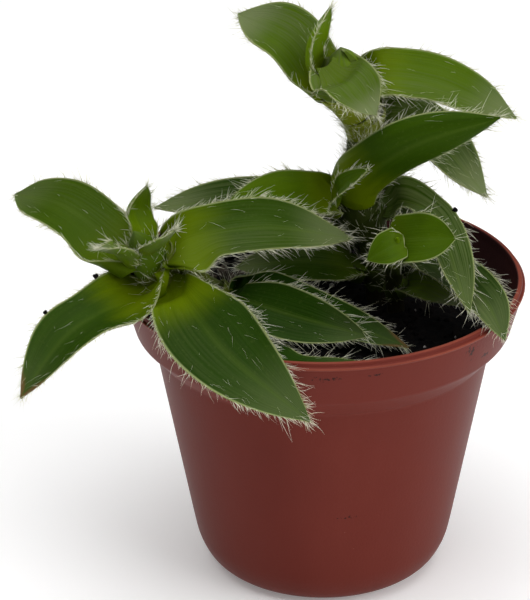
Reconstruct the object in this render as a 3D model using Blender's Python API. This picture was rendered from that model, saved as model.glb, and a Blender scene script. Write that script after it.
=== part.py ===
"""A young cyanotis in a 55 mm nursery pot, as separate solids.

The pot is a thin moulded shell with a collar, a shoulder and drain holes. It is filled with potting soil.
Three stems stand in holes in the soil: one climbs in the middle, one creeps to the rim on the left, and a
short side shoot stands in front on the right. Each leaf is a fleshy boat-shaped blade whose base clasps its
stem. Sizes are written in millimetres and turned into metres where a mesh is made.
"""

import math
from collections import namedtuple

import bmesh
import bpy
from mathutils import Matrix, Vector, noise

MM = 0.001
GAP = 0.35

# The pot, by height above the surface that it stands on
RIM_RADIUS = 27.5
RIM_Z = 42.3
LIP_TOP_Z = 43.0
LIP_BEVEL = 0.4
COLLAR_FOOT_RADIUS = 25.7
COLLAR_FOOT_Z = 36.3
SHOULDER_RADIUS = 23.0
SHOULDER_Z = 33.4
BODY_FOOT_RADIUS = 18.0
CORNER_HEIGHT = 6.2
CORNER_DEPTH = 5.2
WALL = 0.9
FLOOR = 1.1
POT_SEGMENTS = 48
CORNER_STEPS = 4
INNER_STEP_RISE = 0.4

# Round drain holes in the flat floor
DRAIN_HOLES = 6
DRAIN_RADIUS = 1.6
DRAIN_CIRCLE = 9.0
HOLE_SIDES = 12

# The soil
SOIL_Z = 36.6
SOIL_LUMP = 0.6
SOIL_LUMP_SIZE = 4.5
SOIL_RINGS = 6
SOIL_SEGMENTS = 36
STEM_CLEARANCE = 0.5
DRILL_ABOVE_SOIL = 3.0

# A stem's tube
STEM_SIDES = 10
STEM_RINGS_PER_SPAN = 2

# A blade's grid, and its form as shares of its length or width
BLADE_COLUMNS = 4
BLADE_STEP = 2.2
FEWEST_STEPS = 7
BROADEST_AT = 0.44
TAPER = 2.1
CLASP_END = 0.30
HEEL = 0.13
HEEL_RISE = 0.5
HEEL_LEAN = 0.2
BASE_SHARE = 0.45
RIB_POINTS_PER_SPAN = 10
RIB_THICKNESS = 1.5
MARGIN_THICKNESS = 0.62
TIP_HALF_WIDTH = 0.32

# Each stem's axis from below the soil to the tip of its bud: x, y, z and radius
STEMS = {
    "main_stem": [(8.0, 6.0, 29.0, 2.1), (8.0, 6.0, 37.0, 2.1), (7.0, 5.0, 45.0, 2.0), (5.0, 4.0, 52.0, 2.4),
                  (4.9, 4.8, 57.0, 2.0), (5.2, 5.5, 63.0, 2.0), (3.0, 4.5, 67.5, 2.4), (1.2, 4.0, 70.3, 1.9),
                  (0.6, 4.0, 72.8, 0.4)],
    "left_stem": [(-12.0, -4.0, 29.0, 1.9), (-12.0, -4.0, 37.0, 1.9), (-14.0, -5.0, 42.0, 1.8),
                  (-18.5, -6.6, 45.0, 2.0), (-22.5, -8.0, 47.8, 2.4), (-23.6, -8.8, 50.5, 1.8),
                  (-24.0, -9.2, 52.5, 0.4)],
    "side_stem": [(10.0, 1.6, 29.0, 1.2), (10.0, 1.6, 37.0, 1.2), (9.6, 0.2, 42.5, 1.15),
                  (9.5, -4.6, 47.3, 1.25), (9.5, -8.8, 50.8, 0.4)],
}

# Each leaf leaves its stem at a height, on the side given in degrees from +X towards +Y, and wraps the stem
# by so many degrees each way. Its rib passes its middle and ends at its tip, its upper side turns to face,
# and width is measured along the blade's curve.
Leaf = namedtuple("Leaf", "stem height side wrap middle tip face width fold")
LEAVES = {
    "left_leaf_back": Leaf(
        "left_stem", 48.2, 140, 42, (-35, 2, 51.9), (-42.6, 10, 50.5), (0.2, -0.7, 0.7), 9.4, 0.45),
    "left_leaf_outer": Leaf(
        "left_stem", 47, 215, 40, (-33.2, -18, 42.9), (-39, -26, 37.5), (0, -0.3, 1), 8.5, 0.5),
    "left_leaf_front": Leaf(
        "left_stem", 45.5, 300, 42, (-11.8, -27, 44), (-1.6, -32.5, 37.5), (-0.1, -0.6, 0.8), 12, 0.3),
    "left_leaf_inner": Leaf(
        "left_stem", 48.4, 6, 42, (-8, -7, 53.1), (3.9, -4, 50.1), (0, -0.6, 0.8), 8.4, 0.5),
    "left_leaf_young": Leaf(
        "left_stem", 50.2, 80, 42, (-24.8, -4.5, 54.4), (-23.2, -6, 58.6), (0.6, -0.7, 0.3), 4.2, 0.7),
    "left_leaf_small": Leaf(
        "left_stem", 50.2, 200, 42, (-26.8, -11, 51.6), (-29.4, -12, 52.2), (0.3, 0.3, 0.9), 4, 0.7),
    "left_leaf_smaller": Leaf(
        "left_stem", 51.3, 310, 36, (-21, -12, 53.4), (-19.2, -12.4, 55.2), (-0.3, 0.2, 0.9), 3.4, 0.7),
    "left_leaf_low": Leaf(
        "left_stem", 42.5, -45, 42, (-3, -13.8, 43.1), (6, -16, 41.4), (0.1, -0.85, 0.5), 7.4, 0.4),
    "left_leaf_long": Leaf(
        "left_stem", 41.5, 0, 42, (1.7, -9, 40.6), (11.4, -14, 38.8), (0.1, -0.7, 0.7), 5.6, 0.4),
    "left_leaf_lowest": Leaf(
        "left_stem", 39.3, -85, 42, (-4.3, -18.8, 39), (5.2, -18.4, 38.9), (0, 0, 1), 5, 0.4),
    "mid_leaf_right": Leaf(
        "main_stem", 53.5, -110, 70, (11.4, -3.6, 63.5), (23.2, -5, 67.9), (0, 0.95, 0), 7.4, 0.4),
    "mid_leaf_left": Leaf(
        "main_stem", 52, 180, 42, (-5, 1, 54.2), (-12.9, -2.5, 54.4), (0, -0.5, 0.8), 7.5, 0.5),
    "mid_leaf_back": Leaf(
        "main_stem", 50, 150, 42, (-11.3, 9, 50), (-23.1, 7, 49.8), (0, -0.5, 0.8), 7.5, 0.4),
    "mid_leaf_young": Leaf(
        "main_stem", 48.5, -118, 35, (2.6, -4.6, 58), (6, -6.5, 61.2), (0.3, 0.8, 0.3), 3.6, 0.7),
    "mid_leaf_drooping": Leaf(
        "main_stem", 50, -5, 42, (14.4, -2.8, 53.4), (19.1, -18.8, 46.2), (0.45, -0.35, 0.8), 6.8, 0.4),
    "top_leaf_left": Leaf(
        "main_stem", 68.1, 140, 42, (-4.4, 7, 74.4), (-11.4, 11, 76.5), (0.3, -0.7, 0.6), 8.6, 0.5),
    "top_leaf_young": Leaf(
        "main_stem", 70.8, 185, 42, (-1.1, 3, 75.2), (1.1, 3, 80.3), (0.8, -0.4, 0.3), 4, 0.7),
    "top_leaf_front": Leaf(
        "main_stem", 69, -80, 58, (3.2, -1, 71.4), (7, -4, 67.8), (0.2, -0.6, 0.7), 8, 0.5),
    "top_leaf_right": Leaf(
        "main_stem", 67.3, 0, 42, (15.5, 4, 69.2), (25.9, 3, 64.6), (0.1, -0.5, 0.8), 8.3, 0.5),
    "top_leaf_drooping": Leaf(
        "main_stem", 63, 20, 42, (14.6, 8, 60.5), (22.4, 5, 52.2), (0.3, -0.6, 0.7), 8, 0.4),
    "top_leaf_rear": Leaf(
        "main_stem", 64.5, 85, 42, (2, 15, 67), (-1.5, 22, 63.5), (0, 0.2, 1), 7.5, 0.5),
    "mid_leaf_rear": Leaf(
        "main_stem", 49, 60, 42, (8, 15, 52.4), (9, 25, 46), (0, 0.2, 1), 7.5, 0.5),
    "low_leaf_rear": Leaf(
        "main_stem", 45, 105, 42, (-3, 13, 47), (-11, 18, 43.8), (0, 0, 1), 7.5, 0.4),
    "low_leaf_left": Leaf(
        "main_stem", 42, 200, 42, (-3.1, 0, 45), (-11.8, -1, 44.4), (0, -0.6, 0.8), 7, 0.4),
    "rim_leaf_right": Leaf(
        "main_stem", 41.5, 20, 30, (21.3, -12.8, 45.2), (23.7, -19, 42.4), (0, -0.2, 1), 6.4, 0.4),
    "low_leaf_right": Leaf(
        "side_stem", 40.9, -26, 42, (14.3, -1.7, 41.8), (18.4, -6.4, 41.4), (0, -0.4, 0.9), 5.6, 0.35),
    "side_leaf_right": Leaf(
        "side_stem", 49.6, -10, 50, (13, -11.8, 53.8), (17.3, -13.4, 54.8), (-0.1, -0.8, 0.6), 5.8, 0.5),
    "side_leaf_left": Leaf(
        "side_stem", 49.4, 180, 50, (7.9, -10.2, 51.3), (5.8, -12.0, 50.4), (0.2, -0.6, 0.7), 3.8, 0.6),
}


def smooth(t):
    t = min(1.0, max(0.0, t))
    return t * t * (3 - 2 * t)


def spline(points, steps):
    """Points along a centripetal Catmull-Rom curve through the given ones, with steps to each span."""
    p = [Vector(q) for q in points]
    p = [2 * p[0] - p[1], *p, 2 * p[-1] - p[-2]]
    knots = [0.0]
    for a, b in zip(p, p[1:]):
        knots.append(knots[-1] + math.sqrt((b - a).xyz.length))
    path = []
    for i in range(1, len(p) - 2):
        before, start, end, after = knots[i - 1:i + 3]
        for k in range(steps):
            t = start + (end - start) * k / steps
            first = p[i - 1].lerp(p[i], (t - before) / (start - before))
            second = p[i].lerp(p[i + 1], (t - start) / (end - start))
            third = p[i + 1].lerp(p[i + 2], (t - end) / (after - end))
            low = first.lerp(second, (t - before) / (end - before))
            high = second.lerp(third, (t - start) / (after - start))
            path.append(low.lerp(high, (t - start) / (end - start)))
    return [*path, p[-2]]


def along(path, share):
    """The point and the direction at a share of a polyline's length."""
    lengths = [(b - a).length for a, b in zip(path, path[1:])]
    left = share * sum(lengths)
    for a, b, length in zip(path, path[1:], lengths):
        if left <= length:
            return a.lerp(b, left / length), (b - a).normalized()
        left -= length
    return path[-1].copy(), (path[-1] - path[-2]).normalized()


def material(name, colour, roughness):
    made = bpy.data.materials.new(name)
    made.use_nodes = True
    shader = made.node_tree.nodes["Principled BSDF"]
    shader.inputs["Base Color"].default_value = (*colour, 1.0)
    shader.inputs["Roughness"].default_value = roughness
    shader.inputs["Metallic"].default_value = 0.0
    made.diffuse_color = (*colour, 1.0)
    return made


def new_object(name, builder, finish):
    """One object from a bmesh whose sizes are in millimetres."""
    bmesh.ops.scale(builder, vec=(MM, MM, MM), verts=builder.verts)
    bmesh.ops.recalc_face_normals(builder, faces=builder.faces)
    mesh = bpy.data.meshes.new(name)
    builder.to_mesh(mesh)
    builder.free()
    mesh.materials.append(finish)
    mesh.shade_smooth()
    mesh.set_sharp_from_angle(angle=math.radians(40))
    made = bpy.data.objects.new(name, mesh)
    bpy.context.scene.collection.objects.link(made)
    return made


def turned(profile, segments):
    """A bmesh turned about Z from (radius, height) points that start and end on the axis."""
    builder = bmesh.new()
    rings = []
    for radius, z in profile:
        if radius == 0:
            rings.append([builder.verts.new((0, 0, z))])
            continue
        turns = [2 * math.pi * k / segments for k in range(segments)]
        rings.append([builder.verts.new((radius * math.cos(a), radius * math.sin(a), z)) for a in turns])
    for low, high in zip(rings, rings[1:]):
        for k in range(segments):
            n = k + 1
            corners = [low[k % len(low)], low[n % len(low)], high[n % len(high)], high[k % len(high)]]
            builder.faces.new(list(dict.fromkeys(corners)))
    return builder


def drill(target, centre, radius, depth, finish):
    """Takes an upright round hole out of the target."""
    builder = bmesh.new()
    bmesh.ops.create_cone(builder, cap_ends=True, segments=HOLE_SIDES, radius1=radius, radius2=radius,
                          depth=depth, matrix=Matrix.Translation(centre))
    cutter = new_object("drill", builder, finish)
    modifier = target.modifiers.new("hole", "BOOLEAN")
    modifier.operation = "DIFFERENCE"
    modifier.object = cutter
    graph = bpy.context.evaluated_depsgraph_get()
    mesh = bpy.data.meshes.new_from_object(target.evaluated_get(graph))
    target.modifiers.clear()
    target.data = mesh
    bpy.data.objects.remove(cutter)


def quarter_turns(steps):
    return [math.pi / 2 * k / steps for k in range(steps + 1)]


def pot_outside():
    """The pot's outer profile from the middle of its floor up to the edge of its rim."""
    corner = [(BODY_FOOT_RADIUS - CORNER_DEPTH * (1 - math.sin(a)), CORNER_HEIGHT * (1 - math.cos(a)))
              for a in quarter_turns(CORNER_STEPS)]
    return [(0, 0), *corner, (SHOULDER_RADIUS, SHOULDER_Z), (COLLAR_FOOT_RADIUS, COLLAR_FOOT_Z),
            (RIM_RADIUS, RIM_Z), (RIM_RADIUS - LIP_BEVEL, LIP_TOP_Z)]


def pot_inside():
    """The inner profile from the middle of the floor up to the lip."""
    foot = BODY_FOOT_RADIUS - WALL
    corner = [(foot - CORNER_DEPTH * (1 - math.sin(a)), FLOOR + CORNER_HEIGHT * (1 - math.cos(a)))
              for a in quarter_turns(CORNER_STEPS)]
    return [(0, FLOOR), *corner, (SHOULDER_RADIUS - WALL, SHOULDER_Z + INNER_STEP_RISE),
            (COLLAR_FOOT_RADIUS - WALL, COLLAR_FOOT_Z + INNER_STEP_RISE),
            (RIM_RADIUS - LIP_BEVEL - WALL, LIP_TOP_Z)]


def make_pot(finish):
    pot = new_object("pot", turned([*pot_outside(), *reversed(pot_inside())], POT_SEGMENTS), finish)
    for k in range(DRAIN_HOLES):
        turn = 2 * math.pi * k / DRAIN_HOLES + math.pi / POT_SEGMENTS
        centre = (DRAIN_CIRCLE * math.cos(turn), DRAIN_CIRCLE * math.sin(turn), FLOOR / 2)
        drill(pot, centre, DRAIN_RADIUS, 4 * FLOOR, finish)
    return pot


def soil_height(x, y):
    """The lumpy surface, level with SOIL_Z on average."""
    spot = Vector((x, y, 0.0)) / SOIL_LUMP_SIZE
    return SOIL_Z + SOIL_LUMP * (noise.noise(spot) + 0.5 * noise.noise(spot * 2.3))


def soil_profile():
    """The soil's side, which follows the pot's inside at the gap, and then its level top."""
    inside = pot_inside()
    side = [(0, FLOOR + GAP)]
    side += [(radius - GAP, z + GAP * (1 - k / CORNER_STEPS))
             for k, (radius, z) in enumerate(inside[1:-3])]
    side += [(radius - GAP, z) for radius, z in inside[-3:-1]]
    side[-1] = (side[-1][0], SOIL_Z)
    edge = side[-1][0]
    return side + [(edge * k / SOIL_RINGS, SOIL_Z) for k in range(SOIL_RINGS - 1, -1, -1)]


def make_soil(finish):
    builder = turned(soil_profile(), SOIL_SEGMENTS)
    for v in builder.verts:
        if v.co.z == SOIL_Z:
            v.co.z = soil_height(v.co.x, v.co.y)
    soil = new_object("soil", builder, finish)
    for x, y, foot_z, radius in (points[0] for points in STEMS.values()):
        low = foot_z - GAP
        high = SOIL_Z + DRILL_ABOVE_SOIL
        drill(soil, (x, y, (low + high) / 2), radius + STEM_CLEARANCE, high - low, finish)
    return soil


def stem_path(name):
    """The stem's axis as x, y, z and radius."""
    return spline(STEMS[name], STEM_RINGS_PER_SPAN)


def make_stem(name, finish):
    path = stem_path(name)
    builder = bmesh.new()
    rings = []
    side = Vector((1, 0, 0))
    for i, centre in enumerate(path):
        ahead = (path[min(i + 1, len(path) - 1)] - path[max(i - 1, 0)]).xyz.normalized()
        side = (side - ahead * side.dot(ahead)).normalized()
        other = ahead.cross(side)
        turns = [2 * math.pi * k / STEM_SIDES for k in range(STEM_SIDES)]
        rings.append([builder.verts.new(centre.xyz + centre.w * (math.cos(a) * side + math.sin(a) * other))
                      for a in turns])
    for low, high in zip(rings, rings[1:]):
        for k in range(STEM_SIDES):
            n = (k + 1) % STEM_SIDES
            builder.faces.new((low[k], low[n], high[n], high[k]))
    builder.faces.new(rings[0][::-1])
    builder.faces.new(rings[-1])
    return new_object(name, builder, finish)


def stem_at(name, height):
    """A stem's axis point, radius and direction at a height."""
    path = stem_path(name)
    for a, b in zip(path, path[1:]):
        if a.z <= height <= b.z:
            spot = a.lerp(b, (height - a.z) / (b.z - a.z))
            return spot.xyz, spot.w, (b - a).xyz.normalized()
    raise ValueError(f"{name} has no point {height} mm up")


def half_width(leaf, base, s):
    """Half the blade's width at a share s of its length."""
    full = leaf.width / 2
    if s < BROADEST_AT:
        back = (BROADEST_AT - s) / BROADEST_AT
        return base + (full - base) * (1 - back * back)
    return max(TIP_HALF_WIDTH, full * (1 - ((s - BROADEST_AT) / (1 - BROADEST_AT)) ** TAPER))


def leaf_rib(leaf):
    """Points along the rib, the way out from the stem, and the radius that the base clasps."""
    axis, radius, up_stem = stem_at(leaf.stem, leaf.height)
    clasped = radius + GAP
    turn = math.radians(leaf.side)
    outward = Vector((math.cos(turn), math.sin(turn), 0))
    outward = (outward - up_stem * outward.dot(up_stem)).normalized()
    base = axis + outward * clasped
    length = (Vector(leaf.middle) - base).length + (Vector(leaf.tip) - Vector(leaf.middle)).length
    toward = (Vector(leaf.middle) - base).normalized()
    heel = base + (HEEL_RISE * up_stem + HEEL_LEAN * outward + toward).normalized() * HEEL * length
    return spline([base, heel, leaf.middle, leaf.tip], RIB_POINTS_PER_SPAN), outward, clasped, length


def blade_sections(leaf):
    """For each step along the rib: point, width and face directions, half width, curl and rib thickness."""
    rib, outward, clasped, length = leaf_rib(leaf)
    wrap = math.radians(leaf.wrap)
    base_half = min(clasped * wrap, leaf.width * BASE_SHARE)
    steps = max(FEWEST_STEPS, round(length / BLADE_STEP))
    sections = []
    for k in range(steps + 1):
        s = k / steps
        point, ahead = along(rib, s)
        face = (-outward).lerp(Vector(leaf.face).normalized(), smooth(s / CLASP_END))
        face = (face - ahead * face.dot(ahead)).normalized()
        width = face.cross(ahead).normalized()
        curl = wrap + (leaf.fold - wrap) * smooth(s / CLASP_END)
        thickness = MARGIN_THICKNESS + (RIB_THICKNESS - MARGIN_THICKNESS) * (1 - s * s)
        sections.append((point, width, face, half_width(leaf, base_half, s), curl, thickness))
    return sections


def make_leaf(name, finish):
    """A closed blade: an upper and a lower skin, split into triangles alike and joined along the margins."""
    leaf = LEAVES[name]
    builder = bmesh.new()
    upper, lower = [], []
    for point, width, face, half, curl, thickness in blade_sections(leaf):
        upper.append([])
        lower.append([])
        for c in range(BLADE_COLUMNS + 1):
            v = 2 * c / BLADE_COLUMNS - 1
            bend = half / curl
            skin = point + width * (bend * math.sin(curl * v)) + face * (bend * (1 - math.cos(curl * v)))
            normal = face * math.cos(curl * v) - width * math.sin(curl * v)
            depth = MARGIN_THICKNESS + (thickness - MARGIN_THICKNESS) * (1 - v * v)
            upper[-1].append(builder.verts.new(skin))
            lower[-1].append(builder.verts.new(skin - normal * depth))
    for i in range(len(upper) - 1):
        for c in range(BLADE_COLUMNS):
            for rows in (upper, lower):
                a, b, d, e = rows[i][c], rows[i][c + 1], rows[i + 1][c + 1], rows[i + 1][c]
                for corners in ((a, b, d), (a, d, e)) if c < BLADE_COLUMNS / 2 else ((a, b, e), (b, d, e)):
                    builder.faces.new(corners)
        for c in (0, BLADE_COLUMNS):
            builder.faces.new((upper[i][c], upper[i + 1][c], lower[i + 1][c], lower[i][c]))
    for i in (0, -1):
        for c in range(BLADE_COLUMNS):
            builder.faces.new((upper[i][c], upper[i][c + 1], lower[i][c + 1], lower[i][c]))
    return new_object(name, builder, finish)


def main():
    for old in list(bpy.data.objects):
        bpy.data.objects.remove(old)
    terracotta = material("terracotta_plastic", (0.16, 0.035, 0.024), 0.45)
    peat = material("peat", (0.012, 0.009, 0.007), 0.95)
    stem_green = material("stem_green", (0.075, 0.10, 0.012), 0.6)
    leaf_green = material("leaf_green", (0.035, 0.075, 0.008), 0.45)
    make_pot(terracotta)
    make_soil(peat)
    for name in STEMS:
        make_stem(name, stem_green)
    for name in LEAVES:
        make_leaf(name, leaf_green)


main()
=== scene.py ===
import math

import bmesh
import bpy
import numpy as np
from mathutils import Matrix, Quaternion, Vector, noise


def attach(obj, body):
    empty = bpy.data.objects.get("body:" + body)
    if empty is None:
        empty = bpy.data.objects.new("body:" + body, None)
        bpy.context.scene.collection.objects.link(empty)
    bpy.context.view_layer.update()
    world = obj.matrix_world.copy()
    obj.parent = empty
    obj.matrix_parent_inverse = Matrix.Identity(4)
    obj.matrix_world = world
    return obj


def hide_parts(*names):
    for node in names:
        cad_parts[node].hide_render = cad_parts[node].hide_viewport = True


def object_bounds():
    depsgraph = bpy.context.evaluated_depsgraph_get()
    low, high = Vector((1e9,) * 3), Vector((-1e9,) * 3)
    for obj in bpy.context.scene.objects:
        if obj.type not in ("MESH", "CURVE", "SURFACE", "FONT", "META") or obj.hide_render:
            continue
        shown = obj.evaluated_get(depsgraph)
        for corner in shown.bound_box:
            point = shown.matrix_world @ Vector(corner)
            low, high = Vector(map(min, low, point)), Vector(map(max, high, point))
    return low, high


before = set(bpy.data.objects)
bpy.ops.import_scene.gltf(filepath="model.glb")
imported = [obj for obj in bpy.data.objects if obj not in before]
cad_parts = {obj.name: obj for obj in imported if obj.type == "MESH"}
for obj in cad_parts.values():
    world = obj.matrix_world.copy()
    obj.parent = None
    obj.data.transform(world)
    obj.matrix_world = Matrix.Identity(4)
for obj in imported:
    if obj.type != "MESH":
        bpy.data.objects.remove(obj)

cad_low, cad_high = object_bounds()
MM = 0.001

# The floor, the light and the camera.
# A plain white sweep under soft daylight: a broad light overhead, a weaker one from the right, and the
# camera looking down at the pot a little, a long way off, with a long lens.
FLOOR_REACH = 4
SKY_AT_HORIZON = 0.07
SKY_OVERHEAD = 0.34

link = bpy.context.scene.collection.objects.link
floor_mesh = bpy.data.meshes.new("floor")
corners = [(x * FLOOR_REACH, y * FLOOR_REACH, 0) for x, y in ((-1, -1), (1, -1), (1, 1), (-1, 1))]
floor_mesh.from_pydata(corners, [], [(0, 1, 2, 3)])
floor = bpy.data.objects.new("floor", floor_mesh)
link(floor)
floor_paper = bpy.data.materials.new("floor_paper")
floor_paper.use_nodes = True
for socket, value in (("Base Color", (0.95, 0.95, 0.95, 1)), ("Roughness", 0.9),
                      ("Emission Color", (1, 1, 1, 1)), ("Emission Strength", 0.18)):
    floor_paper.node_tree.nodes["Principled BSDF"].inputs[socket].default_value = value
floor_mesh.materials.append(floor_paper)

daylight = bpy.data.worlds.new("daylight")
daylight.use_nodes = True
sky = daylight.node_tree
rise = sky.nodes.new("ShaderNodeSeparateXYZ")
dim_low = sky.nodes.new("ShaderNodeMapRange")
dim_low.inputs["To Min"].default_value = SKY_AT_HORIZON
dim_low.inputs["To Max"].default_value = SKY_OVERHEAD
sky.links.new(sky.nodes.new("ShaderNodeTexCoord").outputs["Generated"], rise.inputs[0])
sky.links.new(rise.outputs["Z"], dim_low.inputs["Value"])
sky.links.new(dim_low.outputs[0], sky.nodes["Background"].inputs["Strength"])
sky.nodes["Background"].inputs["Color"].default_value = (1, 1, 1, 1)
bpy.context.scene.world = daylight
bpy.context.scene.view_settings.view_transform = "Standard"


def softbox(name, place, aim, width, watts):
    lamp = bpy.data.lights.new(name, "AREA")
    lamp.size = width
    lamp.energy = watts
    holder = bpy.data.objects.new(name, lamp)
    holder.location = place
    holder.rotation_mode = "QUATERNION"
    holder.rotation_quaternion = (Vector(aim) - Vector(place)).to_track_quat("-Z", "Y")
    link(holder)


softbox("overhead_softbox", (-0.05, -0.1, 0.8), (0, 0, 0.04), 0.95, 6.2)
softbox("right_softbox", (0.52, -0.36, 0.34), (0, 0, 0.03), 0.45, 2.3)
softbox("left_softbox", (-0.6, 0.2, 0.25), (0, 0, 0.03), 0.35, 0.12)

CAMERA_TARGET = Vector((0, 0, 39.05)) * MM
CAMERA_PITCH = math.radians(25.5)
CAMERA_DISTANCE = 0.4
PIXELS_PER_RADIAN = 2927
FRAME_HEIGHT = 600
POT_RIGHT_OF_CENTRE = 57.6
toward_camera = Vector((0, -math.cos(CAMERA_PITCH), math.sin(CAMERA_PITCH)))
lens = bpy.data.cameras.new("camera")
lens.sensor_width = 36
lens.lens = lens.sensor_width * PIXELS_PER_RADIAN / FRAME_HEIGHT
camera = bpy.data.objects.new("camera", lens)
camera.location = CAMERA_TARGET + toward_camera * CAMERA_DISTANCE
camera.rotation_mode = "QUATERNION"
turn_left = Quaternion((0, 1, 0), math.atan(POT_RIGHT_OF_CENTRE / PIXELS_PER_RADIAN))
camera.rotation_quaternion = (-toward_camera).to_track_quat("-Z", "Y") @ turn_left
link(camera)
bpy.context.scene.camera = camera


# The nursery pot.
# Thin injection-moulded plastic, terracotta coloured, with a collar that lets pots stack, a rounded foot,
# a beaded lip and six round drain holes. It is spotted with dried soil under the lip.
def turned(profile, segments):
    """Points turned about Z from (radius, height) pairs in mm that start and end on the axis."""
    points, faces, rings = [], [], []
    for radius, z in profile:
        count = 1 if radius == 0 else segments
        rings.append(range(len(points), len(points) + count))
        for k in range(count):
            a = 2 * math.pi * k / segments
            points.append((radius * math.cos(a), radius * math.sin(a), z))
    for low, high in zip(rings, rings[1:]):
        for k in range(segments):
            n = k + 1
            corners = [low[k % len(low)], low[n % len(low)], high[n % len(high)], high[k % len(high)]]
            faces.append(list(dict.fromkeys(corners)))
    return np.array(points), faces


def show(name, mesh, finish):
    """One shown piece with its finish, riding on the part's only body."""
    mesh.materials.append(finish.material)
    piece = bpy.data.objects.new(name, mesh)
    link(piece)
    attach(piece, "root")
    return piece


def new_piece(name, points, faces, finish, sharp=50):
    """A shown piece from points in mm, smooth but where it bends by more than sharp degrees."""
    mesh = bpy.data.meshes.new(name)
    mesh.from_pydata((np.asarray(points) * MM).tolist(), [], faces)
    builder = bmesh.new()
    builder.from_mesh(mesh)
    bmesh.ops.recalc_face_normals(builder, faces=builder.faces)
    builder.to_mesh(mesh)
    builder.free()
    mesh.shade_smooth()
    mesh.set_sharp_from_angle(angle=math.radians(sharp))
    return show(name, mesh, finish)


def filleted(corners, steps=5):
    """A profile through (radius, height, fillet) corners, with each corner rounded by its fillet."""
    path = []
    for i, (radius, z, fillet) in enumerate(corners):
        here = np.array((radius, z))
        if fillet == 0:
            path.append(here)
            continue
        back = np.array(corners[i - 1][:2]) - here
        ahead = np.array(corners[i + 1][:2]) - here
        reach = min(fillet, 0.45 * np.linalg.norm(back), 0.45 * np.linalg.norm(ahead))
        start = here + back / np.linalg.norm(back) * reach
        end = here + ahead / np.linalg.norm(ahead) * reach
        for k in range(steps + 1):
            t = k / steps
            path.append((1 - t) ** 2 * start + 2 * t * (1 - t) * here + t ** 2 * end)
    return [(float(r), float(z)) for r, z in path]


class Finish:
    """A procedural material: nodes feed one Principled shader. Its plain values are given by name."""

    def __init__(self, name, **values):
        self.material = bpy.data.materials.new(name)
        self.material.use_nodes = True
        self.tree = self.material.node_tree
        self.shader = self.tree.nodes["Principled BSDF"]
        for socket, value in values.items():
            self.shader.inputs[socket.replace("_", " ")].default_value = value

    def node(self, kind, inputs=None, **settings):
        made = self.tree.nodes.new("ShaderNode" + kind)
        for key, value in settings.items():
            setattr(made, key, value)
        for key, value in (inputs or {}).items():
            self.feed(made.inputs[key], value)
        return made

    def feed(self, socket, value):
        if isinstance(value, bpy.types.NodeSocket):
            self.tree.links.new(value, socket)
        else:
            socket.default_value = value

    def where(self):
        """The place on the piece, in metres."""
        return self.node("TexCoord").outputs["Object"]

    def stored(self, name, output="Vector"):
        """What mark() has stored on the piece's points."""
        return self.node("Attribute", attribute_name=name).outputs[output]

    def split(self, vector):
        return self.node("SeparateXYZ", {0: vector}).outputs

    def reckon(self, operation, *values):
        return self.node("Math", dict(enumerate(values)), operation=operation).outputs[0]

    def plus(self, first, second):
        return self.reckon("ADD", first, second)

    def times(self, first, second):
        return self.reckon("MULTIPLY", first, second)

    def larger(self, first, second):
        return self.reckon("MAXIMUM", first, second)

    def vectors(self, operation, *values):
        made = self.node("VectorMath", dict(enumerate(values)), operation=operation)
        return made.outputs["Value" if operation in ("LENGTH", "DOT_PRODUCT") else "Vector"]

    def clamp01(self, value):
        return self.node("Clamp", {"Value": value}).outputs[0]

    def band(self, value, low, high):
        """0 on the low side of the band, 1 on its high side, smooth between."""
        steps = {"Value": value, "From Min": low, "From Max": high}
        return self.node("MapRange", steps, interpolation_type="SMOOTHSTEP").outputs[0]

    def noise(self, where, scale, detail=3, rough=0.55):
        steps = {"Vector": where, "Scale": scale, "Detail": detail, "Roughness": rough}
        return self.node("TexNoise", steps).outputs["Fac"]

    def stretched(self, where, x, y, z):
        return self.node("Mapping", {"Vector": where, "Scale": (x, y, z)}).outputs[0]

    def mixed(self, share, first, second):
        made = self.node("Mix", data_type="RGBA")
        for slot, value in ((0, share), (6, first), (7, second)):
            self.feed(made.inputs[slot], (*value, 1) if isinstance(value, tuple) else value)
        return made.outputs[2]

    def paint(self, colour):
        self.feed(self.shader.inputs["Base Color"], colour)

    def roughen(self, value, low, high):
        ranged = self.node("MapRange", {"Value": value, "To Min": low, "To Max": high}).outputs[0]
        self.feed(self.shader.inputs["Roughness"], ranged)

    def bump(self, height, distance, strength=1):
        made = self.node("Bump", {"Height": height, "Distance": distance, "Strength": strength})
        self.feed(self.shader.inputs["Normal"], made.outputs[0])


# radius, height and fillet of each corner, in mm
POT_OUTSIDE = [(0, 0, 0), (13.6, 0, 1.2), (16.2, 1.5, 2.2), (17.6, 4.2, 2.2), (18.2, 7.2, 1.8),
               (23, 33.3, 0.35), (25.7, 36.25, 0.35), (27.3, 41.95, 0.15), (27.5, 42.1, 0.08),
               (27.5, 42.32, 0.08), (27.15, 42.45, 0.06), (27.1, 42.95, 0.2)]
POT_INSIDE = [(26.45, 42.95, 0.2), (26.3, 42, 0.3), (24.8, 36.7, 0.5), (22.1, 33.8, 0.5), (17.2, 7.4, 1.8),
              (16.3, 4, 2), (14.6, 2, 2), (12.6, 1.1, 1.2), (0, 1.1, 0)]
DRAIN_HOLES = 6
DRAIN_CIRCLE = 9
DRAIN_RADIUS = 1.6
DRAIN_TURN = math.pi / 48
POT_SEGMENTS = 192
DRIED_SOIL = [
    # middle and reach of each spot
    ((0.4, -26.9, 40.6), (2.3, 3, 0.55)), ((-0.9, -26.9, 40.9), (0.8, 3, 0.3)),
    ((19.6, -18.8, 40.4), (1.2, 2, 1.9)), ((21.5, -15.4, 38.3), (0.8, 1.6, 0.6)),
    ((6.5, -26, 40.8), (1.8, 3, 0.4)), ((3.5, -20.3, 16), (1.6, 3, 0.5)),
]

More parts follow.
